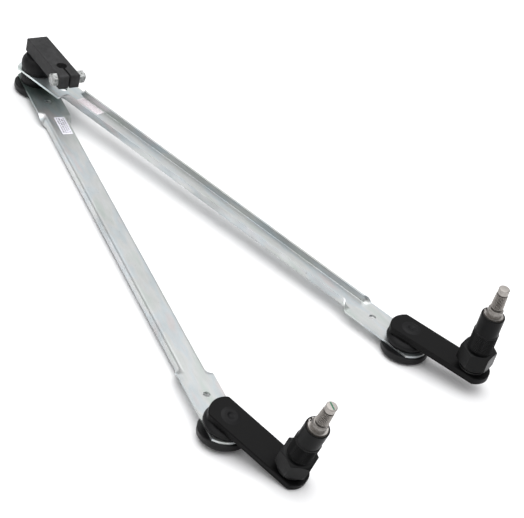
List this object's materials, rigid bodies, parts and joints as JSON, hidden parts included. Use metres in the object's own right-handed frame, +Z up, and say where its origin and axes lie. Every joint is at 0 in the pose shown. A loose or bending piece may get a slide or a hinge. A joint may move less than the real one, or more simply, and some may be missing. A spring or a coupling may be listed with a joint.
{
  "type": "windshield wiper linkage",
  "caption": "Windshield wiper linkage: a clamp-on motor crank drives channel links through ball joints to pivot arms whose knurled shafts turn in hexagonal housings.",
  "frame": {"origin": "on the motor shaft bore's axis, at the crank's underside", "axes": "+Z up along the motor shaft's bore, +X along the right link's horizontal direction away from the crank's ball stud"},
  "size_m": [0.7343, 0.3235, 0.1358],
  "materials": {
    "zinc_sheet": "satin zinc plate on rolled sheet",
    "black_housing": "black phosphate on turned steel, lightly oiled",
    "zinc_fastener": "mottled zinc plate",
    "black_coat": "satin black electrocoat",
    "bright_steel": "ground steel, oiled",
    "bearing_nylon": "filled black nylon",
    "bush_plastic": "moulded",
    "black_rubber": "matte",
    "label_film": "printed film"
  },
  "bodies": {
    "crank": {"crank_arm": "black_coat", "crank_ball_stud": "black_coat", "pinch_bolt": "zinc_fastener", "pinch_nut": "zinc_fastener"},
    "right_link_body": {"right_link": "zinc_sheet", "right_link_label": "label_film", "crank_upper_bush": "bush_plastic", "crank_upper_boot": "black_rubber", "right_outer_bush": "bush_plastic", "right_outer_cup": "black_coat"},
    "left_link_body": {"left_link": "zinc_sheet", "left_link_label": "label_film", "crank_lower_bush": "bush_plastic", "crank_lower_cup": "black_coat", "crank_middle_boot": "black_rubber", "left_outer_bush": "bush_plastic", "left_outer_cup": "black_coat"},
    "left_boot_body": {"left_boot": "black_rubber"},
    "left_arm_body": {"left_pivot_arm": "black_coat", "left_ball_stud": "black_coat", "left_pivot_shaft": "bright_steel", "left_thrust_washer": "bearing_nylon", "left_top_washer": "bright_steel", "left_circlip": "bright_steel"},
    "left_housing_body": {"left_pivot_housing": "black_housing", "left_lower_bush": "bearing_nylon", "left_upper_bush": "bearing_nylon", "left_shaft_seal": "black_rubber"},
    "right_boot_body": {"right_boot": "black_rubber"},
    "right_arm_body": {"right_pivot_arm": "black_coat", "right_ball_stud": "black_coat", "right_pivot_shaft": "bright_steel", "right_thrust_washer": "bearing_nylon", "right_top_washer": "bright_steel", "right_circlip": "bright_steel"},
    "right_housing_body": {"right_pivot_housing": "black_housing", "right_lower_bush": "bearing_nylon", "right_upper_bush": "bearing_nylon", "right_shaft_seal": "black_rubber"}
  },
  "joints": [
    {"name": "crank_turn", "type": "hinge", "parent": "crank", "child": "right_link_body", "pos_m": [-0.05396, 0.01496, -0.0237], "axis": [0, 0, 1], "continuous": true},
    {"name": "link_spread", "type": "hinge", "parent": "right_link_body", "child": "left_link_body", "pos_m": [-0.05396, 0.01496, -0.0386], "axis": [0, 0, 1], "range_deg": [-300, 17]},
    {"name": "left_tilt", "type": "hinge", "parent": "left_link_body", "child": "left_boot_body", "pos_m": [0.53984, -0.24941, -0.0386], "axis": [0.1868, 0.9824, 0], "range_deg": [-24, 2], "deforming": ["left_boot"]},
    {"name": "left_swing", "type": "hinge", "parent": "left_boot_body", "child": "left_arm_body", "pos_m": [0.53984, -0.24941, -0.0386], "axis": [0.2982, -0.0567, 0.9528], "continuous": true},
    {"name": "left_housing_turn", "type": "hinge", "parent": "left_arm_body", "child": "left_housing_body", "pos_m": [0.61721, -0.23536, -0.03889], "axis": [0.2982, -0.0567, 0.9528], "continuous": true},
    {"name": "right_tilt", "type": "hinge", "parent": "right_link_body", "child": "right_boot_body", "pos_m": [0.54987, 0.01496, -0.03805], "axis": [0.0159, 0.9999, -0.0004], "range_deg": [-5, 14], "deforming": ["right_boot"]},
    {"name": "right_swing", "type": "hinge", "parent": "right_boot_body", "child": "right_arm_body", "pos_m": [0.54987, 0.01496, -0.03805], "axis": [0.0885, -0.001, 0.9961], "continuous": true},
    {"name": "right_housing_turn", "type": "hinge", "parent": "right_arm_body", "child": "right_housing_body", "pos_m": [0.62575, 0.02877, -0.02269], "axis": [0.0885, -0.001, 0.9961], "continuous": true}
  ]
}
